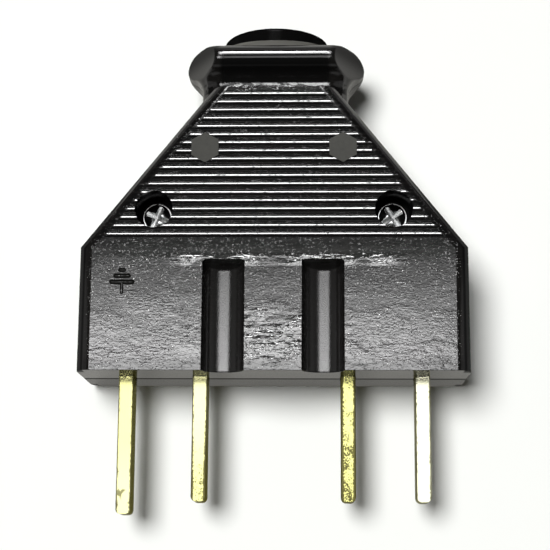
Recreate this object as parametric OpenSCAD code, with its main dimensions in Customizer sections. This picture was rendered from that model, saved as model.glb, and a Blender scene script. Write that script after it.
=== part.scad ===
// Three-phase power plug: a flat two-half moulded housing with four flat blades.
// The plug lies on its rear face. X runs across it, Y to the cable end and Z up through the ribbed face.
// The origin is in the middle of the pin end, on the plane where the two halves meet.

/* [Body] */
// Width across the parallel sides
body_w = 99; // [92:1:112]
// Thickness of the closed housing, front face to rear face
body_t = 30; // [29:0.5:36]
// Length of the parallel sides, from the pin end
side_l = 32; // [31:0.5:36]
// Length of the flat front face, from the pin end to the neck
face_l = 74.4; // [73.5:0.1:76]
// Angle of the tapered flanks to the length of the plug
taper_deg = 38.3; // [37:0.1:39]
// Rounding of the long edges
edge_r = 3.5; // [1.5:0.5:4]
// Thickness of the outer walls
wall = 3.5; // [2.5:0.25:4]
// Thickness of the front and rear faces
roof = 3; // [2.5:0.25:3.5]
// Thickness of the wall that the blades pass through
end_wall = 8; // [6:0.5:9]
// Thickness of the walls between neighbouring blades
partition_t = 2.4; // [1.6:0.2:3]
// Thickness of the stop behind each blade
stop_t = 2.5; // [1.5:0.25:3]

/* [Neck and flange] */
// Width of the neck
neck_w = 38.6; // [37:0.2:40]
// Width of the flange that the neck flares out to, which is as thick as the body
flange_w = 47.4; // [46:0.2:50]
// Rounding of the neck's long edges
neck_edge_r = 5.5; // [4.5:0.25:7]
// Half width of the flange's flat front, where the slopes of its two ears start
ear_x = 15.5; // [15:0.25:18]
// Height of the upright tip that the slopes leave on each ear
ear_tip = 2.4; // [1.6:0.2:4]
// Where the neck starts to flare
flare_y = 75.5; // [74.8:0.1:77]
// Radius of the hollow flare
flare_r = 5; // [4.5:0.25:7]
// Radius of the rounded rim of the flange
rim_r = 3.6; // [2.5:0.1:3.8]
// Radius of the collar at the cable end, which is an arc on each half
collar_r = 14; // [13:0.2:15]
// Thickness of that collar over both halves
collar_t = 22.8; // [22:0.2:24.4]
// Where the slope from the flange to the collar ends
collar_y = 88.2; // [87.6:0.1:89]
// Rounding of the collar's end
collar_edge = 0.8; // [0.2:0.1:1.2]
// Length of the housing, from the pin end to the collar's end
housing_l = 91.8; // [90.6:0.1:95]

/* [Grip ribs] */
// Number of ribs on each face
rib_count = 18; // [6:1:18]
// Distance between ribs
rib_pitch = 2.2; // [1.8:0.05:2.2]
// Distance of the first rib from the pin end
rib_first = 34.7; // [33:0.1:35]
// Width of a rib at its foot
rib_w = 1.4; // [1:0.1:1.6]
// Height of a rib
rib_h = 0.4; // [0.2:0.05:0.5]
// Distance of the ribs' ends from the sides
rib_inset = 3.7; // [3:0.1:5]

/* [Key grooves] */
// Distance of each groove from the middle
groove_x = 12.6; // [11.5:0.1:13]
// Width of the flat along the groove's bottom
groove_flat = 1.7; // [1:0.1:2]
// Radius of the groove's hollow sides
groove_r = 4.5; // [4.5:0.1:4.8]
// Depth of the groove
groove_depth = 4.5; // [3.5:0.1:4.5]
// Length of the groove on the face
groove_l = 28.4; // [24:0.2:29]
// Lean of the groove's end wall
groove_lean = 25; // [10:1:40]
// Rounding of the corners at that end
groove_corner_r = 1.5; // [0.8:0.1:2]

/* [Blades] */
// Distance between neighbouring blade places, the middle one of which is empty
pin_pitch = 19; // [18:0.25:20]
// Thickness of a blade
pin_t = 3.8; // [3:0.1:4.5]
// Depth of a blade
pin_d = 7; // [6:0.25:8]
// Length that a phase blade stands out
phase_l = 31.8; // [25:0.1:40]
// Length that the earth blade stands out
earth_l = 35; // [25:0.1:45]
// Rounding of the corners at a blade's tip
tip_r = 1.4; // [0.5:0.1:1.4]
// Rounding of a blade's long edges
pin_edge = 0.3; // [0.1:0.05:0.5]
// Length of the tab at the blade's inner end
tab_l = 14; // [12:0.5:15]
// Height of that tab
tab_h = 11; // [10:0.25:11.5]

/* [Terminal screws] */
// Diameter of the terminal screws
terminal_d = 4; // [3:0.5:5]
// Diameter of their heads
terminal_head_d = 7.5; // [6:0.25:8]
// Height of their heads
terminal_head_h = 2.4; // [1.5:0.1:2.8]
// Thickness of the washer under each head
washer_t = 1; // [0.5:0.1:1.2]
// Diameter of that washer
washer_d = 9; // [8:0.25:10]
// Length of the thread past the blade
terminal_over = 1.5; // [0.5:0.25:2.5]

/* [Case screws] */
// Distance of the case and clamp screws from the tapered flanks
screw_edge = 9; // [8.6:0.1:10]
// Distance of the case screws from the pin end
case_y = 41.4; // [40.5:0.2:43]
// Diameter of the case screws
case_d = 4; // [3:0.5:4.5]
// Diameter of their heads
case_head_d = 8; // [6.5:0.25:8.5]
// Height of their heads
case_head_h = 3.1; // [2:0.1:3.5]
// Diameter of the hole that each head sits in
cbore_d = 9.6; // [9:0.1:10.5]
// Depth of the head's seat under the front face
seat_depth = 11.6; // [9:0.1:12.5]
// Length of the case screws under the head
case_l = 12; // [10:0.5:14]
// How far the left screw's cross is turned
case_turn_left = 67; // [0:1:90]
// How far the right screw's cross is turned
case_turn_right = 34; // [0:1:90]

/* [Hex inserts] */
// Width across the flats of the moulded-in hex inserts
insert_af = 7; // [6:0.25:7.5]
// Wall of the bosses round the screws and inserts
boss_wall = 2; // [1.75:0.25:2.5]
// Depth of the threaded holes in the inserts
tap_depth = 11; // [10.5:0.25:12]

/* [Cord clamp] */
// Distance of the clamp from the pin end
clamp_y = 57.7; // [56:0.1:58.5]
// Diameter of the cable way
cable_d = 16; // [14:0.5:17]
// Length of the clamp along the cable
clamp_l = 10; // [8:0.5:11]
// Thickness of the clamp
clamp_t = 2.5; // [1.5:0.25:3]
// How far the clamp's arch comes into the cable way
clamp_bite = 1; // [0.5:0.25:2]
// Length of the clamp screws under the head
clamp_screw_l = 10; // [8:0.5:11]

/* [Clearances] */
// Gap on each side of a blade in its slot
blade_gap = 0.1; // [0.05:0.05:0.3]
// Gap round a screw in a plain hole
hole_gap = 0.25; // [0.1:0.05:0.4]
// Gap round a screw in its threaded hole
thread_gap = 0.05; // [0.02:0.01:0.1]
// Gap between a blade's tab and its stop
stop_gap = 0.1; // [0.05:0.05:0.3]

/* [Hidden] */
$fn = 64;

PHENOLIC = "#1d1c1a";
BRASS = "#d8b860";
ZINC = "#c6c6c0";
STEEL = "#5a5953";

// A length that reaches past the whole plug, and a small overlap for clean cuts
far = 300;
over = 0.5;

half_w = body_w / 2;
half_t = body_t / 2;

// The neck and the flange are oblongs with rounded edges, around an inner oblong of half width core_x
flare = (flange_w - neck_w) / 2;
core_x = neck_w / 2 - neck_edge_r;
core_z = half_t - flare - neck_edge_r;
rim_mid = neck_edge_r + flare - rim_r;
rim_turn = acos((flare_r + neck_edge_r - rim_mid) / (flare_r + rim_r));
rim_y = flare_y + (flare_r + rim_r) * sin(rim_turn);
flange_top = rim_y + rim_r;
neck_foot = face_l - wall;

// Where the slope to the collar starts inside the flange: its depth under the rim, and a share of the rim's radius
slope_in = 1.3;
slope_share = 0.7;

// The terminal chamber lies behind the end wall, under the grooves, and the wiring chamber behind it
terminal_z = half_t - groove_depth - roof;
chamber_y0 = groove_l + roof;
chamber_y1 = face_l - 2 * wall;
chamber_z = half_t - roof;

// Blade places from left to right: the earth blade and the three phase blades
blade_x = [-2 * pin_pitch, -pin_pitch, pin_pitch, 2 * pin_pitch];
terminal_y = end_wall + tab_l / 2;

// Shares of a screw head: its crown's height, its cross recess's length and the width of a slot
crown_share = 0.33;
cross_share = 0.58;
slot_share = 0.15;

case_x = inner_half(case_y, screw_edge);
case_seat_z = half_t - seat_depth;
case_boss_r = cbore_d / 2 + boss_wall;
insert_r = insert_af / 2 / cos(30);
clamp_boss_r = insert_r + boss_wall;
insert_end_z = half_t + rib_h;
clamp_x = inner_half(clamp_y, screw_edge);
clamp_seat_z = 0;
arch_r = cable_d / 2 - clamp_bite;

// Plan of the tapered body between two distances from the pin end, set in from its sides
function inner_half(y, inset) =
    min(half_w - inset, half_w - (y - side_l) * tan(taper_deg) - inset / cos(taper_deg));

module body_plan(inset, y0, y1) {
    bend = side_l - inset * tan(taper_deg / 2);
    w0 = inner_half(y0, inset);
    w1 = inner_half(y1, inset);
    points = y0 < bend
        ? [[-w0, y0], [w0, y0], [half_w - inset, bend], [w1, y1], [-w1, y1], [inset - half_w, bend]]
        : [[-w0, y0], [w0, y0], [w1, y1], [-w1, y1]];
    polygon(points);
}

// Takes a drawing in X and height, and runs it along Y from y0 to y1
module along_y(y0, y1) {
    translate([0, y1, 0]) rotate([90, 0, 0]) linear_extrude(y1 - y0) children();
}

// A body of revolution about the cable's axis, drawn as radius and distance along Y
module about_y() {
    rotate([-90, 0, 0]) rotate_extrude() children();
}

// Half of the space: front is 1 for the front half and -1 for the rear half
module half_space(front) {
    translate([-far / 2, -far / 2, front > 0 ? 0 : -far]) cube(far);
}

// A bar with one straight flank at X = 0 and rounded edges along it, as thick as the body
module flank_section() {
    difference() {
        translate([-far, -half_t]) square([far, body_t]);
        for (s = [-1, 1])
            translate([-edge_r, s * (half_t - edge_r)])
                difference() {
                    translate([0, s > 0 ? 0 : -far]) square(far);
                    circle(edge_r);
                }
    }
}

module flank(side, turn) {
    mirror([side > 0 ? 0 : 1, 0, 0])
        translate([half_w, side_l, 0])
            rotate([0, 0, turn])
                along_y(-far / 2, far / 2) flank_section();
}

// The tapered block with rounded long edges and a sharp pin end
module body_block() {
    intersection() {
        translate([-half_w - over, 0, -half_t - over]) cube([body_w + 2 * over, face_l, body_t + 2 * over]);
        flank(-1, 0);
        flank(1, 0);
        flank(-1, taper_deg);
        flank(1, taper_deg);
    }
}

// Half section of the neck and flange beside a straight middle: a neck, a hollow flare and a round rim
module edge_profile(half) {
    touch_r = neck_edge_r + flare_r * (1 - cos(rim_turn));
    touch_y = flare_y + flare_r * sin(rim_turn);
    translate([0, neck_foot]) square([half + neck_edge_r, flange_top - neck_foot]);
    difference() {
        translate([0, flare_y]) square([half + touch_r, touch_y - flare_y]);
        translate([half + neck_edge_r + flare_r, flare_y]) circle(flare_r);
    }
    translate([0, touch_y - over]) square([half + rim_mid, flange_top - touch_y + over]);
    translate([half + rim_mid, rim_y]) circle(rim_r);
}

// The whole section, as wide as the middle and an edge on each side of it
module wide_profile(half) {
    edge_profile(half);
    mirror([1, 0, 0]) edge_profile(half);
}

// The neck and flange with round corners
module round_flange() {
    rotate([0, 90, 0])
        linear_extrude(2 * core_x, center = true) wide_profile(core_z);
    linear_extrude(2 * core_z, center = true) wide_profile(core_x);
    for (side = [0, 1], back = [0, 1])
        mirror([side, 0, 0])
            mirror([0, 0, back])
                translate([core_x, 0, core_z])
                    rotate([-90, -90, 0])
                        rotate_extrude(angle = 90) edge_profile(0);
}

// The neck and flange with the ears cut to slopes, which run from the flat faces to an upright tip
module neck_and_flange() {
    slope = (flange_w / 2 - ear_x) / (half_t - ear_tip / 2);
    ridge = ear_x + slope * half_t;
    top = half_t + over;
    top_x = ridge - slope * top;
    intersection() {
        round_flange();
        rotate([-90, 0, 0])
            linear_extrude(housing_l)
                polygon([[ridge, 0], [top_x, top], [-top_x, top], [-ridge, 0], [-top_x, -top], [top_x, -top]]);
    }
}

// The collar that the cable leaves through, a slope and a short tube about an axis beyond the parting plane
module collar(front) {
    drop = collar_r - collar_t / 2;
    slope_r = half_t - slope_in + drop;
    slope_y = rim_y + rim_r * slope_share;
    translate([0, 0, -front * drop])
        about_y() {
            polygon([[0, rim_y], [slope_r, slope_y], [collar_r, collar_y], [0, collar_y + over]]);
            translate([0, rim_y]) square([collar_r - collar_edge, housing_l - rim_y]);
            translate([0, rim_y]) square([collar_r, housing_l - collar_edge - rim_y]);
            translate([collar_r - collar_edge, housing_l - collar_edge]) circle(collar_edge);
        }
}

// Straight half-round ribs across one face, cut off along the flanks
module ribs(front) {
    rib_r = (rib_w * rib_w / 4 + rib_h * rib_h) / (2 * rib_h);
    mirror([0, 0, front > 0 ? 0 : 1])
        intersection() {
            for (i = [0 : rib_count - 1])
                translate([0, rib_first + i * rib_pitch, half_t + rib_h - rib_r])
                    rotate([0, 90, 0]) cylinder(r = rib_r, h = body_w, center = true);
            translate([0, 0, half_t - roof / 2])
                linear_extrude(roof) body_plan(rib_inset, rib_first - rib_w, face_l);
        }
}

// The closed outside of one half of the housing
module half_outside(front) {
    intersection() {
        union() {
            body_block();
            neck_and_flange();
            collar(front);
        }
        half_space(front);
    }
    ribs(front);
}

// The terminal chamber and the wiring chamber, of both halves together
module chambers() {
    translate([0, 0, -terminal_z]) linear_extrude(2 * terminal_z) body_plan(wall, end_wall, chamber_y0 + over);
    translate([0, 0, -chamber_z]) linear_extrude(2 * chamber_z) body_plan(wall, chamber_y0, chamber_y1);
}

// Walls between neighbouring blades, and the stop behind each blade's tab, of one half
module partitions(front) {
    stop_y = end_wall + tab_l + stop_gap;
    mirror([0, 0, front > 0 ? 0 : 1]) {
        for (x = [-1.5 * pin_pitch, 0, 1.5 * pin_pitch])
            translate([x - partition_t / 2, end_wall - over, 0])
                cube([partition_t, chamber_y0 - end_wall + over, terminal_z + over]);
        for (x = blade_x)
            translate([x - pin_t, stop_y, pin_d / 4])
                cube([2 * pin_t, stop_t, terminal_z - pin_d / 4 + over]);
    }
}

// Posts for the two case screws, of one half
module case_bosses(front) {
    for (side = [-1, 1])
        translate([side * case_x, case_y, front > 0 ? 0 : -chamber_z - over])
            cylinder(r = case_boss_r, h = chamber_z + over);
}

// Posts for the clamp screws and the saddle that the cable lies in, in the front half
module clamp_bosses() {
    for (side = [-1, 1])
        translate([side * clamp_x, clamp_y, clamp_seat_z])
            cylinder(r = clamp_boss_r, h = chamber_z + over - clamp_seat_z);
    translate([-clamp_x, clamp_y - clamp_l / 2, 0]) cube([2 * clamp_x, clamp_l, chamber_z + over]);
}

module hex_bar(length) {
    rotate([0, 0, 30]) cylinder(r = insert_r, h = length, $fn = 6);
}

// What is cut out of both halves: the cable way and the blades' slots
module common_cuts() {
    translate([0, clamp_y - clamp_l, 0])
        rotate([-90, 0, 0]) cylinder(d = cable_d, h = housing_l - clamp_y + clamp_l + over);
    for (x = blade_x)
        translate([x - pin_t / 2 - blade_gap, -over, -pin_d / 2 - blade_gap])
            cube([pin_t + 2 * blade_gap, end_wall + 2 * over, pin_d + 2 * blade_gap]);
}

// A bar of width w that ends in two rounded corners at y1, drawn from y0
module round_ended(w, y0, y1, r) {
    translate([-w / 2, y0]) square([w, y1 - r - y0]);
    translate([r - w / 2, y0]) square([w - 2 * r, y1 - y0]);
    for (side = [-1, 1])
        translate([side * (w / 2 - r), y1 - r]) circle(r);
}

// A groove in the front face, open at the pin end, with a leaning end wall and rounded end corners
module key_groove() {
    axis_z = half_t + groove_r - groove_depth;
    mouth_w = groove_flat + 2 * sqrt(groove_r * groove_r - (axis_z - half_t) * (axis_z - half_t));
    intersection() {
        difference() {
            along_y(-over, groove_l) {
                for (side = [-1, 1])
                    translate([side * groove_flat / 2, axis_z]) circle(groove_r);
                translate([-groove_flat / 2, axis_z - groove_r]) square([groove_flat, 2 * groove_r]);
            }
            translate([-far / 2, groove_l, half_t])
                rotate([-groove_lean, 0, 0]) translate([0, 0, -far / 2]) cube(far);
        }
        linear_extrude(far) round_ended(mouth_w + over, -2 * over, groove_l, groove_corner_r);
    }
}

module front_shell() {
    color(PHENOLIC)
        difference() {
            union() {
                difference() {
                    half_outside(1);
                    chambers();
                }
                partitions(1);
                case_bosses(1);
                clamp_bosses();
            }
            common_cuts();
            for (side = [-1, 1]) {
                translate([side * groove_x, 0, 0]) key_groove();
                translate([side * case_x, case_y, case_seat_z]) cylinder(d = cbore_d, h = far);
                translate([side * case_x, case_y, -over]) cylinder(r = case_d / 2 + hole_gap, h = far);
                translate([side * clamp_x, clamp_y, clamp_seat_z - over]) hex_bar(far);
            }
        }
}

module rear_shell() {
    color(PHENOLIC)
        difference() {
            union() {
                difference() {
                    half_outside(-1);
                    chambers();
                }
                partitions(-1);
                case_bosses(-1);
            }
            common_cuts();
            for (side = [-1, 1])
                translate([side * case_x, case_y, -far]) hex_bar(far + over);
        }
}

// A rectangle about the origin with rounded corners
module edge_rounded(w, h, r) {
    square([w, h - 2 * r], center = true);
    square([w - 2 * r, h], center = true);
    for (x = [-1, 1])
        for (y = [-1, 1])
            translate([x * (w / 2 - r), y * (h / 2 - r)]) circle(r);
}

// A flat blade with rounded edges and tip corners and a wider tab inside, drilled for its terminal screw
module blade(index, length) {
    color(BRASS)
        translate([blade_x[index], 0, 0])
            difference() {
                union() {
                    intersection() {
                        along_y(-length - over, end_wall + over) edge_rounded(pin_t, pin_d, pin_edge);
                        translate([0, 0, -far / 2])
                            linear_extrude(far)
                                mirror([0, 1]) round_ended(pin_t, -end_wall - over, length, tip_r);
                    }
                    along_y(end_wall, end_wall + tab_l) edge_rounded(pin_t, tab_h, pin_edge);
                }
                translate([0, terminal_y, 0])
                    rotate([0, 90, 0]) cylinder(r = terminal_d / 2 + thread_gap, h = far, center = true);
            }
}

// A screw along Z with its head up from the origin: a low round head and a plain shank below
module screw(d, length, head_d, head_h) {
    crown = head_h * crown_share;
    difference() {
        union() {
            translate([0, 0, -length]) cylinder(d = d, h = length);
            cylinder(d = head_d, h = head_h - crown);
            translate([0, 0, head_h - crown]) cylinder(d1 = head_d, d2 = head_d - 2 * crown, h = crown);
        }
        translate([0, 0, head_h / 2]) children();
    }
}

// The cross recess of a screw head
module cross_recess(head_d) {
    arm_l = head_d * cross_share;
    arm_w = head_d * slot_share;
    for (turn = [0, 90])
        rotate([0, 0, turn]) translate([-arm_l / 2, -arm_w / 2, 0]) cube([arm_l, arm_w, far]);
}

// The straight slot of a screw head
module straight_slot(head_d) {
    slot_w = head_d * slot_share;
    translate([-head_d, -slot_w / 2, 0]) cube([2 * head_d, slot_w, far]);
}

// Places a terminal screw or washer against the side of a blade that faces the middle
module at_terminal(index) {
    inward = blade_x[index] > 0 ? -1 : 1;
    translate([blade_x[index] + inward * pin_t / 2, terminal_y, 0]) rotate([0, 90 * inward, 0]) children();
}

module terminal_screw(index) {
    color(ZINC)
        at_terminal(index)
            translate([0, 0, washer_t])
                screw(terminal_d, washer_t + pin_t + terminal_over, terminal_head_d, terminal_head_h)
                    straight_slot(terminal_head_d);
}

module terminal_washer(index) {
    color(ZINC)
        at_terminal(index)
            difference() {
                cylinder(d = washer_d, h = washer_t);
                translate([0, 0, -over]) cylinder(r = terminal_d / 2 + hole_gap, h = washer_t + 2 * over);
            }
}

module case_screw(side) {
    color(ZINC)
        translate([side * case_x, case_y, case_seat_z])
            rotate([0, 0, side > 0 ? case_turn_right : case_turn_left])
                screw(case_d, case_l, case_head_d, case_head_h) cross_recess(case_head_d);
}

// A hex insert moulded into a shell, with a blind threaded hole that opens at the parting plane
module insert(d) {
    difference() {
        hex_bar(insert_end_z);
        translate([0, 0, -over]) cylinder(r = d / 2 + thread_gap, h = tap_depth + over);
    }
}

module case_insert(side) {
    color(STEEL) translate([side * case_x, case_y, 0]) mirror([0, 0, 1]) insert(case_d);
}

module clamp_insert(side) {
    color(STEEL) translate([side * clamp_x, clamp_y, clamp_seat_z]) insert(case_d);
}

// An arched clamp with two round ears, screwed to the posts of the front half
module cord_clamp() {
    color(STEEL)
        difference() {
            union() {
                along_y(clamp_y - clamp_l / 2, clamp_y + clamp_l / 2) {
                    translate([-clamp_x, -clamp_t]) square([2 * clamp_x, clamp_t]);
                    intersection() {
                        circle(arch_r + clamp_t);
                        translate([-far / 2, -far]) square(far);
                    }
                }
                for (side = [-1, 1])
                    translate([side * clamp_x, clamp_y, -clamp_t]) cylinder(d = clamp_l, h = clamp_t);
            }
            translate([0, clamp_y - clamp_l, 0]) rotate([-90, 0, 0]) cylinder(r = arch_r, h = 2 * clamp_l);
            for (side = [-1, 1])
                translate([side * clamp_x, clamp_y, -far / 2]) cylinder(r = case_d / 2 + hole_gap, h = far);
        }
}

module clamp_screw(side) {
    color(ZINC)
        translate([side * clamp_x, clamp_y, clamp_seat_z - clamp_t])
            mirror([0, 0, 1])
                screw(case_d, clamp_screw_l, case_head_d, case_head_h) cross_recess(case_head_d);
}

front_shell();
rear_shell();
blade(0, earth_l);  // earth_blade
for (i = [1 : 3])
    blade(i, phase_l);
for (i = [1 : 4])
    terminal_screw(i - 1);
for (i = [1 : 4])
    terminal_washer(i - 1);
case_screw(-1);  // case_screw_left
case_screw(1);  // case_screw_right
case_insert(-1);  // case_insert_left
case_insert(1);  // case_insert_right
cord_clamp();
clamp_screw(-1);  // clamp_screw_left
clamp_screw(1);  // clamp_screw_right
clamp_insert(-1);  // clamp_insert_left
clamp_insert(1);  // clamp_insert_right
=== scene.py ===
# %% [markdown]
# # A three-phase power plug
# The plug is a flat black housing in two moulded halves, with four brass blades at one end and a
# flanged neck for the cable at the other. Its solids come from a CAD model, which is loaded first and
# stays as it is. This script dresses those solids with finishes, adds the finer pieces and sets up a
# small photo studio. Lengths are written in millimetres and turned into metres, which is Blender's
# unit, with the factor MM. X runs across the plug, Y from the blades to the cable, and Z up out of the
# front face.

# %% Load the packed model
import math

import bmesh
import bpy
import numpy as np
from mathutils import Matrix, Vector


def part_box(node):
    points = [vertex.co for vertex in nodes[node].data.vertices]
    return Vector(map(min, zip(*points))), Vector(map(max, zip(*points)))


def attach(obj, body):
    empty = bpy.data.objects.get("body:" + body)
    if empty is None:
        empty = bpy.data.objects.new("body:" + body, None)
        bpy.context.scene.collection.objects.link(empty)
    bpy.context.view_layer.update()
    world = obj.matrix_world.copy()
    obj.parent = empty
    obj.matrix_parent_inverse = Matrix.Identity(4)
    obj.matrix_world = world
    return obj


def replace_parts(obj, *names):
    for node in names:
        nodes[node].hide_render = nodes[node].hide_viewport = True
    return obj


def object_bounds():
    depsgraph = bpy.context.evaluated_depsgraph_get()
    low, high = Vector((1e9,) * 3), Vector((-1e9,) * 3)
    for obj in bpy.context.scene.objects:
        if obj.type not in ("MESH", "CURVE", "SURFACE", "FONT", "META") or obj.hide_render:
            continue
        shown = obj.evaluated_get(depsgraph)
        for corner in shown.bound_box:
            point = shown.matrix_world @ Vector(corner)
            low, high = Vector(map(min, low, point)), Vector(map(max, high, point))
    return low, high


MM = 0.001

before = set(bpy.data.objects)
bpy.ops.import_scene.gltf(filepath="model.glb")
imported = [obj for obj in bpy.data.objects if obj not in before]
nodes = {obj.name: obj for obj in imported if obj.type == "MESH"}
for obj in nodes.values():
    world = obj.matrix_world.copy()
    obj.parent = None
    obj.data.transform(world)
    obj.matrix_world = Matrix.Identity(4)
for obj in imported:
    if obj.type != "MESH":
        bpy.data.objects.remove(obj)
cad_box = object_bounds()
print(len(nodes), "CAD nodes, box in mm:", [[round(v / MM, 1) for v in corner] for corner in cad_box])

# %% [markdown]
# ## Camera
# The picture was taken from almost straight above, a little from the pin end. A camera is three things
# here: where it stands, how it is turned, and its focal length. All three were found by lining up known
# points of the plug, such as the feet of the blades, with the picture. The turn is written as one axis
# times an angle.

# %% Set up the camera
PICTURE_PX = 550
SENSOR_MM = 36.0
FOCAL_PX = 1462.0
CAMERA_AT_MM = Vector((12.08, -52.96, 375.33))
CAMERA_TURN = Vector((0.21085, 0.03143, 0.00280))

camera_data = bpy.data.cameras.new("camera")
camera_data.sensor_width = SENSOR_MM
camera_data.lens = FOCAL_PX / PICTURE_PX * SENSOR_MM
camera_data.clip_start = 10 * MM
camera = bpy.data.objects.new("camera", camera_data)
turn = Matrix.Rotation(CAMERA_TURN.length, 4, CAMERA_TURN.normalized())
camera.matrix_world = Matrix.Translation(CAMERA_AT_MM * MM) @ turn
bpy.context.scene.collection.objects.link(camera)
bpy.context.scene.camera = camera
looks_along = turn @ Vector((0, 0, -1, 0))
print("camera looks along", [round(v, 3) for v in looks_along[:3]], "lens", round(camera_data.lens, 1))

# %% [markdown]
# ## Writing shaders as sums
# A finish is a network of nodes. Drawing it by hand takes many lines, so a small class wraps one output
# socket. Adding or multiplying two of them adds a Math node, and the method `node` adds any other kind
# of node.

# %% A wire between shader nodes
class Wire:
    """One output socket of a shader node, with sums and products that add Math nodes."""

    def __init__(self, socket):
        self.socket = socket
        self.tree = socket.id_data

    def node(self, kind, settings=None, inputs=None, output=0):
        """Adds a node: first its settings, then the value or wire of each named or numbered socket."""
        new = self.tree.nodes.new(kind)
        for name, value in (settings or {}).items():
            setattr(new, name, value)
        for name, value in (inputs or {}).items():
            if isinstance(value, Wire):
                self.tree.links.new(value.socket, new.inputs[name])
            else:
                new.inputs[name].default_value = value
        return Wire(new.outputs[output])

    def maths(self, operation, *values):
        """Adds a Math node with this operation on the values."""
        return self.node("ShaderNodeMath", {"operation": operation}, dict(enumerate(values)))

    def __add__(self, other):
        return self.maths("ADD", self, other)

    def __sub__(self, other):
        return self.maths("SUBTRACT", self, other)

    def __rsub__(self, other):
        return self.maths("SUBTRACT", other, self)

    def __mul__(self, other):
        return self.maths("MULTIPLY", self, other)

    def __pow__(self, other):
        return self.maths("POWER", self, other)

    def __abs__(self):
        return self.maths("ABSOLUTE", self)

    __radd__ = __add__
    __rmul__ = __mul__

    def into(self, shader, name):
        """Feeds a shader's socket with this wire."""
        self.tree.links.new(self.socket, shader.inputs[name])


print("a wire has", sum(callable(value) for value in vars(Wire).values()), "methods")


# %% A new finish and its coordinates
def new_finish(name, **constants):
    """An empty finish: the material, its shader with constant sockets set, and the Object coordinates."""
    material = bpy.data.materials.new(name)
    material.use_nodes = True
    tree = material.node_tree
    shader = tree.nodes["Principled BSDF"]
    for socket, value in constants.items():
        shader.inputs[socket.replace("_", " ").title().replace("Ior", "IOR")].default_value = value
    return material, shader, Wire(tree.nodes.new("ShaderNodeTexCoord").outputs["Object"])


def separated(at):
    """The three coordinates as a wire each."""
    return [at.node("ShaderNodeSeparateXYZ", {}, {0: at}, output=axis) for axis in "XYZ"]


def stretched(at, factors):
    """Coordinates times a factor along each axis: a small factor draws a pattern out along its axis."""
    return at.node("ShaderNodeMapping", {"vector_type": "POINT"}, {"Vector": at, "Scale": factors})


def drawn_across(at, factor):
    """Coordinates for a pattern that is drawn out across the plug."""
    return stretched(at, (factor, 1.0, 1.0))


def distance_from(at, centre):
    """Distance of each point of the surface from a fixed point, in metres."""
    return at.node("ShaderNodeVectorMath", {"operation": "DISTANCE"}, {0: at, 1: centre}, output="Value")


print("finishes read Object coordinates, which are metres in the plug's own frame")


# %% Patterns, colours and surface directions
def clouds(at, size_mm, detail=2.0, roughness=0.5):
    """Smooth noise between 0 and 1, with cloud-like patches of about this size."""
    inputs = {"Vector": at, "Scale": 1 / (size_mm * MM), "Detail": detail, "Roughness": roughness}
    return at.node("ShaderNodeTexNoise", {}, inputs)


def between(wire, low, high):
    """0 below low, 1 above high and a smooth step between them."""
    inputs = {0: wire, 1: low, 2: high}
    return wire.node("ShaderNodeMapRange", {"interpolation_type": "SMOOTHSTEP"}, inputs)


def mixed(share, first, second):
    """The first colour where the share is 0 and the second where it is 1."""
    return share.node("ShaderNodeMix", {"data_type": "RGBA"}, {0: share, 6: first, 7: second}, output=2)


def rounded_edges(at, radius_mm):
    """Surface direction with the sharp CAD edges rounded off to this radius."""
    return at.node("ShaderNodeBevel", {"samples": 6}, {"Radius": radius_mm * MM})


def bumped(height, depth_mm, normal):
    """Surface direction disturbed by a height between 0 and 1, which stands for a depth."""
    inputs = {"Height": height, "Distance": depth_mm * MM, "Normal": normal}
    return height.node("ShaderNodeBump", {}, inputs)


print("patterns are sized in mm, so they keep their scale on every piece")

# %% [markdown]
# ## Shares
# A worn surface isn't the same all over, so a finish has to say where something is. Here that is a
# share: a wire that is 1 at a place, 0 elsewhere and soft between. It could be painted by hand, but
# then it would be an image. Shares are worked out from distances along the axes, are cut by multiplying
# and joined by taking the larger.

# %% Shares of a surface
def beyond(wire, low_mm, high_mm):
    """0 before the first distance, 1 after the second and a smooth step between them."""
    return between(wire, low_mm * MM, high_mm * MM)


def band(wire, low_mm, high_mm, soft_mm):
    """1 between two distances along an axis, with soft ends, and 0 outside them."""
    rise = beyond(wire, low_mm - soft_mm, low_mm + soft_mm)
    fall = beyond(wire, high_mm - soft_mm, high_mm + soft_mm)
    return rise - fall


def either(*shares):
    """The largest of several shares."""
    largest = shares[0]
    for share in shares[1:]:
        largest = largest.maths("MAXIMUM", largest, share)
    return largest


print("shares are 1 at a place and 0 elsewhere")

# %% [markdown]
# ## Moulded skin
# The housing is pressed from phenolic resin in a worn steel mould. Its skin is wavy like an orange
# peel, drawn out across the plug, with cracks and small pits. The waves are too fine to model, so they
# are a bump. Patches of torn skin break up the light unevenly, as on the real one: most of all between
# the key grooves and in a strip below the ribs, and hardly at all on the neck. Distances in these
# shares are read off the plug in millimetres.

# %% Where the skin is torn
def torn_places(x, y, side):
    """Shares of the face: its torn middle, the strip below the ribs, the foot at the blades, and all."""
    between_grooves = band(y, 3.0, 14.0, 5.0) * (1 - beyond(side, 9.0, 12.0))
    outside_grooves = band(y, 4.0, 10.0, 5.0) * band(side, 17.5, 23.0, 4.0)
    middle = between_grooves * 0.9 + outside_grooves * 0.45
    strip = band(y, 27.2, 29.2, 0.8) * band(x, -26.0, 30.0, 5.0)
    foot = band(y, -1.0, 7.0, 3.0)
    plain_face = band(y, -1.0, 29.5, 0.8)
    return middle, strip, foot, plain_face


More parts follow.
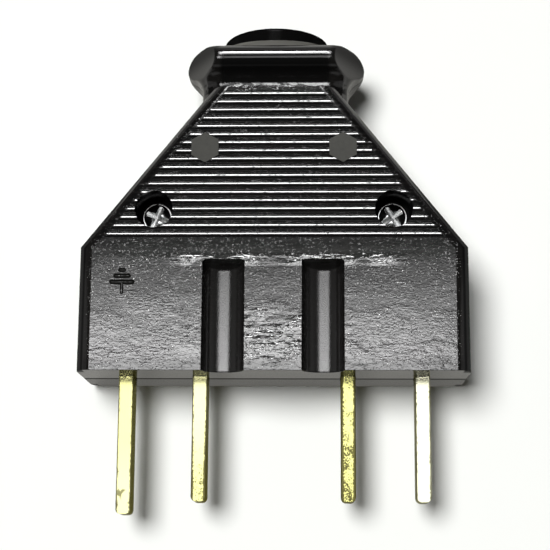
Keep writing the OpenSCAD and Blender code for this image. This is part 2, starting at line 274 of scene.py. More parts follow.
def skin_waves(at, y, torn, places):
    """Height of the waves: small ripples and long streaks, each a noise times its strength at a place."""
    middle, strip, foot, plain_face = places
    ripples = clouds(drawn_across(at, 0.5), 0.45, 2.0, 0.5)
    torn_strength = torn * (band(y, -1.0, 18.5, 3.0) * 0.13 + plain_face * 0.05 + 0.05)
    even_strength = plain_face * 0.04 + band(y, -1.0, 11.0, 5.0) * 0.11 + 0.03
    streaks = clouds(drawn_across(at, 0.15), 0.95, 1.0, 0.5)
    streak_strength = (torn * 0.6 + 0.4) * (middle * 1.7 + strip * 1.4 + foot * 0.3 + plain_face * 0.03)
    return ripples * (torn_strength + even_strength) + streaks * streak_strength


print("the skin is torn at three places of the face")


# %% Height of the skin
def skin_height(at, x, y, depth):
    """Height of the skin: waves, cracks and grain less the pits, faint on the neck and rim and inside.
    A crack runs where a noise crosses its mean, and a pit lies where another one peaks."""
    side = abs(x)
    places = torn_places(x, y, side)
    middle, strip, foot, plain_face = places
    torn = between(clouds(drawn_across(at, 0.6), 5.0, 2.0, 0.6), 0.40, 0.58)
    waves = skin_waves(at, y, torn, places)
    crease = abs(clouds(drawn_across(at, 0.2), 1.0, 3.0, 0.55) - 0.5)
    cracks = between(crease, 0.0, 0.05) * torn * (middle * 0.42 + strip * 0.35 + foot * 0.03)
    grain = clouds(drawn_across(at, 0.55), 0.28, 1.0) * (plain_face * 0.08 + 0.015)
    crowds = between(clouds(at, 4.0, 2.0, 0.6), 0.34, 0.54)
    pits = between(clouds(drawn_across(at, 0.6), 0.42, 2.0, 0.6), 0.60, 0.70) * crowds
    inside = 1 - beyond(depth, 10.6, 14.4)
    faint = either(beyond(y, 75.6, 77.0), inside, beyond(side, 46.0, 47.0))
    inside_grain = clouds(at, 0.24, 1.0) * inside * 0.2
    return (waves + cracks + grain - pits * 0.5) * (1 - faint * 0.92) + inside_grain


print("the skin's height is waves, cracks and grain, less the pits")

# %% [markdown]
# ## Dull places
# The mould was polished only where a tool could reach. Between the ribs, in the screw wells, along the
# edges and in the neck the resin came out dull, and the line where the halves meet is dull too. On the
# end face a dull black band just below that line is painted shade under the upper half. Each
# function here gives the share of dull resin at one kind of place, so that the finish can mix a glossy
# and a dull shader with it.

# %% Dull ribs, wells and edges
RIB_PITCH_MM, FIRST_RIB_MM, RIBBED_MM = 2.2, 34.7, (33.7, 73.2)
ON_FACE_MM = (14.5, 14.8)
WELL = sum(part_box("case_screw_right"), Vector()) / 2
WELL_R_SQUARED = (34.0, 37.0)
TAPER_X_MM, TAPER_Y_MM = 49.5, 32.0
TAPER_NORMAL = (0.8145, 0.580)


def dull_ribs(y, depth):
    """Between the ribs. The place in one pitch runs from 0 to 1, with a polished crest past its middle."""
    place = (y - FIRST_RIB_MM * MM) * (1 / (RIB_PITCH_MM * MM)) + 0.5
    place = place.maths("FRACT", place)
    crest = between(place, 0.48, 0.51) - between(place, 0.66, 0.72)
    return band(y, *RIBBED_MM, 0.3) * beyond(depth, *ON_FACE_MM) * (1 - crest) * 0.75


def dull_wells(side, y, z):
    """In the screw wells: below the face and near the axis, by the square of the distance in mm."""
    off_axis = ((side - WELL.x) * (1 / MM)) ** 2.0 + ((y - WELL.y) * (1 / MM)) ** 2.0
    return (1 - between(off_axis, *WELL_R_SQUARED)) * (1 - beyond(z, 14.8, 14.95)) * 0.9


def dull_edges(side, y, depth):
    """Along the tapered sides, by the distance from the taper's line, and along the straight ones."""
    off_taper = (side - TAPER_X_MM * MM) * TAPER_NORMAL[0] + (y - TAPER_Y_MM * MM) * TAPER_NORMAL[1]
    tapered = beyond(off_taper, -2.0, -1.6) * (1 - beyond(y, 75.0, 75.1))
    return either(tapered, beyond(side, 47.5, 47.9)) * beyond(depth, 10.0, 12.0) * 0.75


print("the screw well's axis is at", round(WELL.x / MM, 2), round(WELL.y / MM, 2), "mm")


# %% Dull neck, ends and halves
def dull_neck(at, side, y, depth):
    """In the neck's scoop, in patches at its foot, at its lip's ends, on its ears and on the collar."""
    on_top = beyond(depth, 6.5, 9.0)
    patches = between(clouds(drawn_across(at, 0.5), 1.4, 3.0, 0.6), 0.42, 0.52)
    scoop = band(y, 76.8, 83.62, 0.12) * (1 - beyond(side, 13.5, 15.0)) * 0.85
    foot = band(y, 74.2, 76.9, 0.2) * patches * on_top * 0.85
    lip_ends = band(y, 83.0, 84.6, 0.2) * band(side, 13.4, 14.6, 1.0) * on_top * 0.9
    ears = beyond(side, 14.0, 15.5) * beyond(y, 79.5, 85.0) * 0.65
    collar = beyond(y, 88.2, 88.3) * 0.98
    return either(scoop, foot, lip_ends, ears, collar)


def dull_ends(y, z, depth):
    """Where the halves meet, with a band of painted shade just below the joint on the end face, on the rear
    half, at the rubbed edge by the blades and below the ribs.
    """
    # A dull black band just below the joint on the end face: painted shade under the upper half.
    painted_shade_below_joint = band(z, -1.6, 0.1, 0.1) * (1 - beyond(y, 0.2, 0.6)) * 0.9
    parting = (1 - beyond(depth, 0.08, 0.16)) * 0.9
    rear_half = (1 - beyond(z, -0.2, 0.0)) * 0.2
    on_face = beyond(depth, *ON_FACE_MM)
    rubbed_foot = (1 - beyond(y, 1.6, 4.2)) * on_face * 0.3
    below_ribs = band(y, 31.4, 33.6, 1.2) * on_face * 0.35
    return either(painted_shade_below_joint, parting, rear_half, rubbed_foot, below_ribs)


print("dull places: ribs, wells, edges, neck and ends")

# %% [markdown]
# ## Black phenolic
# The resin itself is nearly black, with pale specks of filler where the face is worn. The glossy shader
# carries the skin's bump over edges that are a little rounded, more so on the ears and in the key
# grooves. The dull one has no gloss at all, but on the collar's foot a grey sheen is painted into its
# colour: a painted reflection, whose lower edge is curved.

# %% The phenolic finish
RESIN_DARK, RESIN_PALE = (0.0045, 0.0042, 0.0040, 1), (0.0080, 0.0074, 0.0068, 1)
FILLER = (0.62, 0.62, 0.60, 1)
# The second of these colours is a painted reflection: a grey sheen on the collar's foot.
DULL_BLACK, PAINTED_SHEEN_GREY = (0.003, 0.003, 0.003, 1), (0.125, 0.123, 0.112, 1)
COLLAR_CURVE = 7.0
EDGE_R_MM, SOFT_EDGE_R_MM, SKIN_MM = 0.18, 0.8, 0.08


def resin_colour(at, y, depth):
    """Clouds of two blacks, with filler where a fine noise peaks, in crowds and mostly on the face."""
    resin = mixed(clouds(at, 6.0, 3.0, 0.6), RESIN_DARK, RESIN_PALE)
    crowds = between(clouds(at, 3.0, 2.0, 0.6), 0.40, 0.62)
    on_face = beyond(depth, 14.7, 14.9) * (band(y, 0.3, 29.0, 0.5) * 0.92 + 0.08)
    specks = between(clouds(drawn_across(at, 0.6), 0.34, 1.0), 0.68, 0.74)
    return mixed(specks * crowds * on_face, resin, FILLER)


def phenolic():
    """Glossy resin with a moulded skin, mixed with dull resin by the largest of the dull shares."""
    material, shader, at = new_finish("phenolic_black", ior=1.56)
    x, y, z = separated(at)
    side, depth = abs(x), abs(z)
    resin_colour(at, y, depth).into(shader, "Base Color")
    ears = beyond(side, 12.0, 14.0) * beyond(y, 77.0, 78.0)
    grooves = band(y, 0.05, 28.2, 0.05) * (1 - beyond(side, 15.0, 16.0)) * (1 - beyond(z, 14.0, 14.5))
    (clouds(at, 2.5, 3.0, 0.6) * 0.08 + 0.05 + grooves * 0.10).into(shader, "Roughness")
    hard, soft = rounded_edges(at, EDGE_R_MM), rounded_edges(at, SOFT_EDGE_R_MM)
    edges = {0: either(ears, grooves), 4: hard, 5: soft}
    smooth = at.node("ShaderNodeMix", {"data_type": "VECTOR"}, edges, output=1)
    bumped(skin_height(at, x, y, depth), SKIN_MM, smooth).into(shader, "Normal")
    # A painted reflection: a grey sheen on the collar's foot, with a curved lower edge, painted into the dull
    # resin's colour.
    painted_sheen = band(y - x * x * COLLAR_CURVE, 86.3, 88.25, 0.06) * beyond(z, 2.0, 8.0)
    black_with_painted_sheen = mixed(painted_sheen, DULL_BLACK, PAINTED_SHEEN_GREY)
    dull_look = {"Base Color": black_with_painted_sheen, "Roughness": 0.6, "Specular IOR Level": 0.0}
    dull = at.node("ShaderNodeBsdfPrincipled", {}, dull_look)
    moulded_dull = either(dull_ribs(y, depth), dull_wells(side, y, z), dull_edges(side, y, depth))
    share = either(moulded_dull, dull_neck(at, side, y, depth), dull_ends(y, z, depth), painted_sheen * 0.9)
    both = at.node("ShaderNodeMixShader", {}, {0: share, 1: Wire(shader.outputs[0]), 2: dull})
    both.into(material.node_tree.nodes["Material Output"], "Surface")
    print(material.name, "has", len(material.node_tree.nodes), "shader nodes")
    return material


# %% [markdown]
# ## Brass
# The blades are drawn brass. Fine lines run along them, and specks of dark tarnish gather more on some
# blades than on others, most of all at the tips and edges. Each blade could have a finish made by hand,
# but one function with a few numbers for each blade keeps them alike. Each moves the noise by its own
# shift, so that the specks differ. How white each blade is, at its foot and its tip, is a painted
# highlight: a blade that catches more light is painted whiter. Their sides are painted darker, a
# painted shade.

# %% The brass finish
BRASS_DEEP, BRASS_PALE = (0.62, 0.60, 0.22, 1), (0.90, 0.89, 0.70, 1)
# The flank colour is painted shade: the blades' sides are painted darker than their fronts.
BRASS_FLANK_PAINTED_SHADE, BRASS_GRAZING = (0.46, 0.44, 0.17, 1), (0.35, 0.34, 0.15, 1)
TARNISH = (0.20, 0.18, 0.055, 1)
BLADE_FACE_MM = 3.5
PAST_THE_TIP = (0, 60)


def tarnish_share(at, moved, level, spot_at):
    """Specks where a grainy noise is above a level, and one stain round a spot, frayed by a noise."""
    grain = clouds(moved, 0.42, 4.0, 0.7) * 0.7 + clouds(moved, 2.6, 2.0) * 0.3
    fray = (clouds(moved, 0.8, 2.0) - 0.5) * 5.0 * MM
    stain = 1 - beyond(distance_from(at, spot_at) + fray, 0.2, 1.1)
    return either(between(grain - level, -0.01, 0.05), stain * 0.65)


def brass(blade, specks, shift_mm, pale, spot_mm=PAST_THE_TIP):
    """Brass for one blade. specks are the shares of tarnish all over and towards the tip, and pale says how
    white the metal is at its foot and its tip: a painted highlight, whiter where a blade catches more light.
    spot_mm is how far one dark spot is from the middle and from the foot. The metal goes from deep to pale
    brass, then to a darker flank, which is painted shade on the blade's sides, and tarnish covers both."""
    material, shader, at = new_finish("brass_" + blade, metallic=1.0, specular_tint=BRASS_GRAZING)
    low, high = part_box(blade)
    middle, half = (low.x + high.x) / 2, (high.x - low.x) / 2
    x, y, _ = separated(at)
    off = abs(x - middle)
    moved = at.node("ShaderNodeMapping", {}, {"Vector": at, "Location": [v * MM for v in shift_mm]})
    near_tip = 1 - between(y, low.y + 2 * MM, low.y + 21 * MM)
    at_edge = between(off, half - 0.9 * MM, half - 0.3 * MM)
    level = 0.70 - specks[0] * 0.2 - near_tip * (specks[1] * 0.2) - at_edge * 0.17
    spot_at = (middle + spot_mm[0] * MM, -spot_mm[1] * MM, BLADE_FACE_MM * MM)
    tarnish = tarnish_share(at, moved, level, spot_at)
    lines = clouds(stretched(moved, (1.0, 0.05, 1.0)), 0.25, 2.0)
    # How white the metal is at foot and tip is a painted highlight: a blade that catches more light is
    # painted whiter.
    painted_whiteness = (1 - near_tip) * pale[0] + near_tip * pale[1] + (lines - 0.5) * 0.12
    # The sides of the blade are painted darker: painted shade.
    on_painted_shade_flank = between(off, half - 0.12 * MM, half - 0.02 * MM)
    metal = mixed(on_painted_shade_flank, mixed(painted_whiteness, BRASS_DEEP, BRASS_PALE), BRASS_FLANK_PAINTED_SHADE)
    mixed(tarnish * 0.85, metal, TARNISH).into(shader, "Base Color")
    (lines * 0.08 + 0.15 + tarnish * 0.3).into(shader, "Roughness")
    bumped(lines * 0.5 - tarnish * 0.8, 0.006, rounded_edges(at, 0.12)).into(shader, "Normal")
    print(material.name, "has", len(material.node_tree.nodes), "shader nodes")
    return material


# %% [markdown]
# ## Zinc and steel
# The screws are zinc-plated: a bright metal under a thin haze, rougher where a driver has scraped it.
# The moulded-in inserts were never plated. They are plain dull steel, dark and stained, with cut marks
# across them.

# %% The zinc and steel finishes
ZINC_HAZE = (0.84, 0.87, 0.87)
STEEL_DARK, STEEL_PALE = (0.025, 0.025, 0.022, 1), (0.054, 0.0535, 0.048, 1)


def zinc(name, bright, roughness):
    """Plating between a hazy and a clear grey of this brightness, at least this rough, with fine grain."""
    material, shader, at = new_finish(name, metallic=1.0)
    haze = clouds(at, 0.9, 3.0, 0.6)
    hazy, clear = [tint * bright for tint in ZINC_HAZE] + [1], [bright] * 3 + [1]
    mixed(haze, hazy, clear).into(shader, "Base Color")
    (haze * 0.1 + roughness).into(shader, "Roughness")
    bumped(clouds(at, 0.3, 2.0), 0.006, rounded_edges(at, 0.08)).into(shader, "Normal")
    return material


def dull_steel():
    """Stains between two dark greys, and cut marks drawn out across the plug."""
    material, shader, at = new_finish("steel_dull", metallic=0.1, specular_ior_level=0.1)
    cuts = clouds(drawn_across(at, 0.2), 0.4, 3.0)
    stains = clouds(at, 1.6, 3.0, 0.6)
    mixed(stains, STEEL_DARK, STEEL_PALE).into(shader, "Base Color")
    (stains * 0.15 + 0.6).into(shader, "Roughness")
    bumped(cuts, 0.01, rounded_edges(at, 0.1)).into(shader, "Normal")
    return material


# %% Dress the CAD nodes
ZINC, SCRAPED = zinc("zinc_plating", 0.85, 0.08), zinc("zinc_scraped", 0.80, 0.22)
STEEL, PHENOLIC = dull_steel(), phenolic()
# pale sets each blade's whiteness at foot and tip, a painted highlight: the blade that catches most light is
# painted nearly white.
BLADE_LOOKS = {
    "earth_blade": dict(specks=(0.05, 0.2), shift_mm=(3, 0, 7), pale=(0.13, 0.30), spot_mm=(-0.75, 29.8)),
    "phase_blade_1": dict(specks=(0.15, 0.7), shift_mm=(11, 4, 2), pale=(0.28, 0.10)),
    "phase_blade_2": dict(specks=(0.74, 0.35), shift_mm=(5, 9, 1), pale=(0.03, 0.0), spot_mm=(-0.5, 15.5)),
    "phase_blade_3": dict(specks=(0.0, 0.1), shift_mm=(8, 2, 6), pale=(0.83, 0.88)),
}
finishes = {"front_shell": PHENOLIC, "rear_shell": PHENOLIC}
finishes.update({blade: brass(blade, **look) for blade, look in BLADE_LOOKS.items()})
for name, part in nodes.items():
    default = STEEL if "insert" in name or name == "cord_clamp" else ZINC
    part.data.materials.clear()
    part.data.materials.append(finishes.get(name, default))
print("dressed", len(nodes), "nodes in", len(bpy.data.materials), "finishes")

# %% [markdown]
# ## Meshes from formulas
# The finer pieces are surfaces worked out with numpy: a grid of points from a formula in two
# parameters. One helper numbers the quads between the points, round the seam too where the grid closes
# on itself. Another makes them a mesh and rides it on the plug's only body.

# %% Turn a grid of points into a piece
def grid_faces(rows, columns, wrap):
    """Corner numbers of the quads between neighbouring points, round the seam too if the grid closes."""
    number = np.arange(rows * columns).reshape(rows, columns)
    ahead = np.roll(number, -1, axis=1) if wrap else number[:, 1:]
    here = number if wrap else number[:, :-1]
    return np.stack([here[:-1], ahead[:-1], ahead[1:], here[1:]], axis=-1).reshape(-1, 4)


def piece(name, points, faces, finish, sharp_deg=35):
    """A smooth-shaded piece from points in metres and faces, which rides on the plug."""
    mesh = bpy.data.meshes.new(name)
    mesh.from_pydata(points.reshape(-1, 3), [], faces.tolist())
    mesh.validate()
    mesh.materials.append(finish)
    mesh.shade_smooth()
    mesh.set_sharp_from_angle(angle=math.radians(sharp_deg))
    made = bpy.data.objects.new(name, mesh)
    bpy.context.scene.collection.objects.link(made)
    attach(made, "root")
    low, high = points.reshape(-1, 3).min(0) / MM, points.reshape(-1, 3).max(0) / MM
    print(name, len(faces), "faces, mm", low.round(2), high.round(2))
    return made


print("a grid of 3 x 4 points that closes has", len(grid_faces(3, 4, wrap=True)), "quads")

# %% [markdown]
# ## Case screws
# Two pan-head screws hold the halves together. The CAD has plain ones, so these replace them. A screw
# is a surface of revolution: one parameter runs round, the other along a half section from the crown to
# the tip. The cross recess is pressed into the crown by taking the lower of two heights, and the thread
# is cut by letting the radius follow a helix. The recess and a ring round the crown get the scraped
# finish, and the rest the bright one.

# %% The screw's half section
HEAD_R, HEAD_H = 4.0, 3.1
CROWN_R, CROWN_DROP, CROWN_ROWS = 3.3, 0.62, 64
RING_R, RIM_R, RIM_ROUND_R, RIM_ROUND_H = [3.52, 3.57], 3.72, 0.28, 0.85
RING_DROP, RIM_RAISED = 0.64, 0.018
SHANK_R, SHANK_L, SHANK_ROWS = 2.0, 12.0, 132
FILLET_R, TIP_R, TIP_L = 0.25, 1.2, 0.6


def half_section():
    """Radius and height in mm along the half section: crown, ring and rim, underside, shank and tip. The
    crown drops with a power of the radius, and the rim is a quarter of an ellipse."""
    crown_r = np.linspace(0, 1, CROWN_ROWS) ** 0.8 * CROWN_R
    crown_z = HEAD_H - CROWN_DROP * (crown_r / CROWN_R) ** 2.2
    rim = np.linspace(0, np.pi / 2, 9)
    rim_r = np.concatenate([RING_R, RIM_R + RIM_ROUND_R * np.sin(rim)])
    rim_drop = np.concatenate([[0.0, 0.0], RIM_RAISED - RIM_ROUND_H * (1 - np.cos(rim))])
    stretches = [
        (crown_r, crown_z),
        (rim_r, HEAD_H - RING_DROP + rim_drop),
        ([HEAD_R, SHANK_R + FILLET_R, SHANK_R], [0, 0, -0.02]),
        (np.full(SHANK_ROWS, SHANK_R), np.linspace(-0.05, -SHANK_L + TIP_L, SHANK_ROWS)),
        ([TIP_R, 0.0], [-SHANK_L, -SHANK_L]),
    ]
    radius, height = (np.concatenate(values) for values in zip(*stretches))
    return radius, height


print("half section of", len(half_section()[0]), "points")

# %% Recess and thread
VALLEY_FLOOR, VALLEY_RISES, VALLEY_WALL = 2.10, 0.15, 3.6
VALLEY_HALF, VALLEY_WIDENS = 0.42, 0.11
THREAD_PITCH, THREAD_DEPTH = 0.7, 0.36
THREAD_TOP, THREAD_END = -2.0, -SHANK_L + 0.1


def valley(along, across):
    """Height of one valley: its floor rises outwards and away from its middle line, up to a half width that
    grows outwards, and a steep wall stands beyond."""
    along, across = np.abs(along), np.abs(across)
    half_width = VALLEY_HALF + VALLEY_WIDENS * along
    floor = VALLEY_FLOOR + VALLEY_RISES * along + VALLEY_RISES * np.minimum(across, half_width)
    return floor + VALLEY_WALL * np.maximum(across - half_width, 0)


def screw_points(centre_mm, turn_deg, columns=192):
    """Grid points of one screw in metres, and which of them are scraped. The height is the lower of the crown
    and two crossed valleys, and the radius of the thread falls and rises once in each pitch and turn."""
    radius, height = half_section()
    r, a = np.meshgrid(radius, np.linspace(0, 2 * np.pi, columns, endpoint=False), indexing="ij")
    z = np.repeat(height[:, None], columns, axis=1)
    threaded = (z < THREAD_TOP) & (z > THREAD_END) & (r > SHANK_R - 0.1)
    flank = np.abs((z / THREAD_PITCH - a / (2 * np.pi)) % 1 - 0.5) * 2
    r = np.where(threaded, SHANK_R - THREAD_DEPTH * flank, r)
    x, y = r * np.cos(a), r * np.sin(a)
    row = np.arange(len(radius))[:, None]
    cross = np.minimum(valley(x, y), valley(y, x))
    recess = (row < CROWN_ROWS) & (cross < z)
    z = np.where(recess, cross, z)
    ring = (row > CROWN_ROWS) & (row <= CROWN_ROWS + len(RING_R))
    cos, sin = np.cos(np.radians(turn_deg)), np.sin(np.radians(turn_deg))
    points = np.stack([x * cos - y * sin, x * sin + y * cos, z], axis=-1)
    return points * MM + np.array(centre_mm) * MM, (recess | ring).reshape(-1)


print("the recess is", round(HEAD_H - VALLEY_FLOOR, 2), "mm deep, the thread", THREAD_DEPTH, "mm")


# %% Place the two screws
def joined(made):
    """Merges the points that coincide at a pole or a seam, and turns all faces outwards."""
    work = bmesh.new()
    work.from_mesh(made.data)
    bmesh.ops.remove_doubles(work, verts=work.verts, dist=1e-7)
    bmesh.ops.recalc_face_normals(work, faces=work.faces)
    work.to_mesh(made.data)
    work.free()
    return made


case_screws = []
for node, turn_deg in (("case_screw_left", 67), ("case_screw_right", 34)):
    low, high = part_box(node)
    middle = (low + high) / 2 / MM
    seat_z = high.z / MM - HEAD_H
    points, scraped = screw_points((middle.x, middle.y, seat_z), turn_deg)
    faces = grid_faces(points.shape[0], points.shape[1], wrap=True)
    screw = piece(node + "_cross_head", points, faces, ZINC)
    screw.data.materials.append(SCRAPED)
    screw.data.polygons.foreach_set("material_index", scraped[faces].all(axis=1).astype(np.int32))
    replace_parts(joined(screw), node)
    case_screws.append(screw)

# %% [markdown]
# ## Earth sign
# A small earth sign is stamped on the front face beside the longer blade. Its height is a function of
# the distance to the nearest stroke: a flat top, a flank down to the face, and nothing farther out. The
# strokes are dull and black, but for a polished line along their middle.

# %% Strokes of the sign and the height over them
SIGN_X, FACE_Z = -38.25, 15.0
SIGN_HALF, SIGN_Y, SIGN_STEP = 3.7, (18.9, 26.3), 0.05
SIGN_RISE, TOP_SHARE, EDGE_SHARE, LINE_SHARE = 0.06, 0.80, 1.04, 0.11
STROKES = [
    ((SIGN_X, 19.7), (SIGN_X, 22.2), 0.46),
    ((SIGN_X - 2.6, 22.4), (SIGN_X + 2.6, 22.4), 0.66),
    ((SIGN_X - 1.65, 24.0), (SIGN_X + 1.65, 24.0), 0.62),
    ((SIGN_X - 0.5, 25.5), (SIGN_X + 0.5, 25.5), 0.54),
]


def distance_to_strokes(x, y):
    """Distance of each point from the nearest stroke, a line between two ends, in half widths of it."""
    nearest = np.full(x.shape, np.inf)
    for (x0, y0), (x1, y1), half_width in STROKES:
        share = ((x - x0) * (x1 - x0) + (y - y0) * (y1 - y0)) / ((x1 - x0) ** 2 + (y1 - y0) ** 2)
        share = np.clip(share, 0, 1)
        distance = np.hypot(x - x0 - share * (x1 - x0), y - y0 - share * (y1 - y0))
        nearest = np.minimum(nearest, distance / half_width)
    return nearest


def sign_height(distance):
    """Height over the face: a flat top, and a flank from its edge down to the face."""
    return np.interp(distance, [TOP_SHARE, 1.0], [SIGN_RISE, 0.0])


print("sign of", len(STROKES), "strokes,", SIGN_RISE, "mm high")

# %% Build the sign
STAMPED_DARK, STAMPED_PALE = (0.003, 0.003, 0.003, 1), (0.008, 0.008, 0.007, 1)


def stamped():
    """A dull black finish for the strokes: stains between two blacks."""
    material, shader, at = new_finish("phenolic_stamped", specular_ior_level=0.0)
    stain = clouds(at, 0.5, 2.0)
    mixed(stain, STAMPED_DARK, STAMPED_PALE).into(shader, "Base Color")
    (stain * 0.2 + 0.5).into(shader, "Roughness")
    bumped(stain, 0.01, rounded_edges(at, 0.05)).into(shader, "Normal")
    return material


across = np.arange(SIGN_X - SIGN_HALF, SIGN_X + SIGN_HALF, SIGN_STEP)
up = np.arange(*SIGN_Y, SIGN_STEP)
sign_x, sign_y = np.meshgrid(across, up)
gap = distance_to_strokes(sign_x, sign_y)
sign_points = np.stack([sign_x, sign_y, FACE_Z + sign_height(gap)], axis=-1) * MM
gap = gap.reshape(-1)
sign_faces = grid_faces(len(up), len(across), wrap=False)
sign_faces = sign_faces[(gap[sign_faces] < EDGE_SHARE).all(axis=1)]
used, sign_faces = np.unique(sign_faces, return_inverse=True)
sign_faces = sign_faces.reshape(-1, 4)
sign = piece("earth_sign", sign_points.reshape(-1, 3)[used], sign_faces, PHENOLIC, 60)
sign.data.materials.append(stamped())
off_line = gap[used][sign_faces].mean(axis=1) > LINE_SHARE
sign.data.polygons.foreach_set("material_index", off_line.astype(np.int32))
backing = sign.modifiers.new("backing", "SOLIDIFY")
backing.thickness = 0.1 * MM
backing.offset = -1

# %% [markdown]
# ## Floor and surroundings
# The plug lies on a pale sheet. One sheet can't serve all that looks at it, so its colour goes by the
# kind of ray. The camera sees a white sheet that keeps the shadow. Light that bounces off it meets a
# greyer one, so that the housing's sides stay black. What shines sees a glowing sheet, darker near the
# plug, where its shadow lies.

# %% Floor
FLOOR_HALF = 1.5
floor_z = cad_box[0][2]
floor_points = np.array([[-1, -1, 0], [1, -1, 0], [1, 1, 0], [-1, 1, 0]]) * FLOOR_HALF + (0, 0, floor_z)
floor_mesh = bpy.data.meshes.new("floor")
floor_mesh.from_pydata(floor_points, [], [(0, 1, 2, 3)])
floor = bpy.data.objects.new("floor", floor_mesh)
bpy.context.scene.collection.objects.link(floor)
print("floor at", round(floor_z / MM, 2), "mm")

# %% Paper of the floor
SEEN_WHITE = (0.838, 0.848, 0.823, 1), (0.848, 0.858, 0.833, 1)
BOUNCED_GREY = (0.54, 0.535, 0.515, 1), (0.56, 0.555, 0.535, 1)
MIRRORED_GREY = (0.16, 0.158, 0.15, 1)
GLOW_NEAR, GLOW_FAR = (0.29, 0.286, 0.265, 1), (0.75, 0.745, 0.72, 1)
NO_GLOW = (0, 0, 0, 1)
PLUG_MIDDLE = (0, 25 * MM, floor_z)

paper, shader, at = new_finish("pale_paper", roughness=0.9, specular_ior_level=0.0, emission_strength=1.0)
ray = paper.node_tree.nodes.new("ShaderNodeLightPath")
seen, mirrored = Wire(ray.outputs["Is Camera Ray"]), Wire(ray.outputs["Is Glossy Ray"])
fibres = clouds(at, 30.0)
unseen = mixed(mirrored, mixed(fibres, *BOUNCED_GREY), MIRRORED_GREY)
mixed(seen, unseen, mixed(fibres, *SEEN_WHITE)).into(shader, "Base Color")
glow = mixed(beyond(distance_from(at, PLUG_MIDDLE), 65, 140), GLOW_NEAR, GLOW_FAR)
mixed(mirrored, NO_GLOW, glow).into(shader, "Emission Color")
floor_mesh.materials.append(paper)
print(paper.name, "has", len(paper.node_tree.nodes), "shader nodes")

# %% World
WORLD_SEEN, WORLD_LIGHT, WORLD_LESS_MIRRORED = 0.95, 0.05, 0.02
world = bpy.data.worlds.new("studio")
bpy.context.scene.world = world
world.use_nodes = True
background = world.node_tree.nodes["Background"]
background.inputs["Color"].default_value = (1.0, 0.97, 0.90, 1)
ray = world.node_tree.nodes.new("ShaderNodeLightPath")
seen, mirrored = Wire(ray.outputs["Is Camera Ray"]), Wire(ray.outputs["Is Glossy Ray"])
(seen * WORLD_SEEN - mirrored * WORLD_LESS_MIRRORED + WORLD_LIGHT).into(background, "Strength")
print("the camera sees the world at", WORLD_SEEN + WORLD_LIGHT, "and it lights the plug at", WORLD_LIGHT)

# %% [markdown]
# ## Lamps
# A round lamp above the upper left throws the soft shadow to the lower right. The black skin has hardly
# any colour of its own: what one sees on it are the lamps' reflections. So wide soft boxes hang
# overhead that only glossy surfaces see, and they are as large as their reflections on the face and the
# ribs ask. They are far too bright for bare metal, which mirrors nearly all of their light. One could
# darken the metal's colours to suit, but then it would look wrong under other light. So the blades and
# case screws are left out, and have two much weaker lamps. These still make the metal lighter than its
# colours are written, as it is in the picture.

# %% What a lamp lights
BARE_METAL = [part for name, part in nodes.items() if "blade" in name] + case_screws


def metal_list(name, state):
    """A list for a lamp that lights bare metal alone, by the state INCLUDE, or all else, by EXCLUDE."""
    group = bpy.data.collections.new(name)
    for metal in BARE_METAL:
        group.objects.link(metal)
    for entry in group.collection_objects:
        entry.light_linking.link_state = state
    return group


ONLY_METAL, NOT_METAL = metal_list("only_metal", "INCLUDE"), metal_list("not_metal", "EXCLUDE")
print("lamps tell", len(BARE_METAL), "bare metal pieces from the rest")


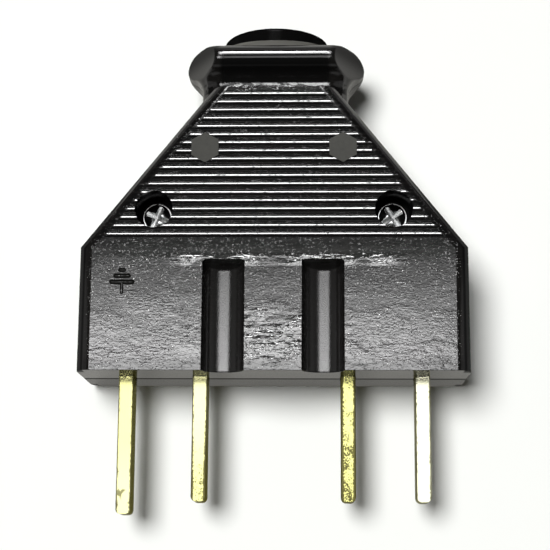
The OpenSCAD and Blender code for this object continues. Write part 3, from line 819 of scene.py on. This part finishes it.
# %% Make a lamp
def lamp(name, middle_deg, size_deg, radiance,
         distance=1.2, round_shape=False, diffuse=True, gloss=True, lit=None):
    """A flat lamp over the plug. middle_deg is how far it leans to +X and +Y, and size_deg how wide it looks
    from the plug. radiance is how bright its face is, where a white floor that fills the view would be 1:
    its power is that times pi and its area. lit is the list of what it lights."""
    data = bpy.data.lights.new(name, "AREA")
    data.shape = "ELLIPSE" if round_shape else "RECTANGLE"
    data.size, data.size_y = (2 * distance * math.tan(math.radians(v / 2)) for v in size_deg)
    area = data.size * data.size_y * (math.pi / 4 if round_shape else 1)
    data.energy = radiance * math.pi * area
    made = bpy.data.objects.new(name, data)
    lean_x, lean_y = (math.radians(v) for v in middle_deg)
    way = Vector((math.tan(lean_x), math.tan(lean_y), 1)).normalized()
    side = (Vector((1, 0, 0)) - way * way.x).normalized()
    axes = Matrix((side, way.cross(side), way)).transposed()
    made.matrix_world = Matrix.Translation(way * distance) @ axes.to_4x4()
    made.visible_camera = False
    made.visible_diffuse = diffuse
    made.visible_glossy = gloss
    made.light_linking.receiver_collection = lit
    bpy.context.scene.collection.objects.link(made)
    print(name, "power", round(data.energy, 1), "W")


lamp("key", (-13.4, 8.0), (24, 24), 27.6, distance=3.0, round_shape=True, gloss=False)

# %% Lamps that only glossy surfaces see
WALL_DEG, WALL_RADIANCE = (80, 26), 0.35
MIRRORED_LAMPS = [
    ("metal_box", (-4, 4), (24, 14), 2.25, ONLY_METAL),
    ("metal_panel", (-2, 30), (26, 36), 2.6, ONLY_METAL),
    ("soft_box_bright", (-4, 1), (24, 8), 13.5, NOT_METAL),
    ("soft_box", (-4, 6.95), (24, 3.9), 12.0, NOT_METAL),
    ("soft_box_peak", (-4, 9.4), (24, 1.0), 14.0, NOT_METAL),
    ("soft_box_edge", (-2, 11.0), (28, 2.2), 3.05, NOT_METAL),
    ("soft_box_fade", (-2, 12.4), (28, 0.6), 2.8, NOT_METAL),
    ("soft_box_rim", (-2, 13.1), (28, 0.8), 1.4, NOT_METAL),
    ("ceiling", (-2, 18), (26, 40), 0.28, None),
    ("glint_panel", (-2, 31), (20, 8), 18.0, NOT_METAL),
    ("far_strip", (-2, 40), (18, 16), 78.0, NOT_METAL),
    ("wall_left", (-74, 0), WALL_DEG, WALL_RADIANCE, None),
    ("wall_right", (74, 0), WALL_DEG, WALL_RADIANCE, None),
    ("wall_near", (0, -74), WALL_DEG, WALL_RADIANCE, None),
    ("wall_far", (0, 74), WALL_DEG, WALL_RADIANCE, None),
]
for name, middle_deg, size_deg, radiance, lit in MIRRORED_LAMPS:
    lamp(name, middle_deg, size_deg, radiance, diffuse=False, lit=lit)

# %% [markdown]
# ## Last steps
# The view transform stays plain, so that a colour comes out as it was written.

# %% Keep the view transform plain
bpy.context.scene.view_settings.view_transform = "Standard"
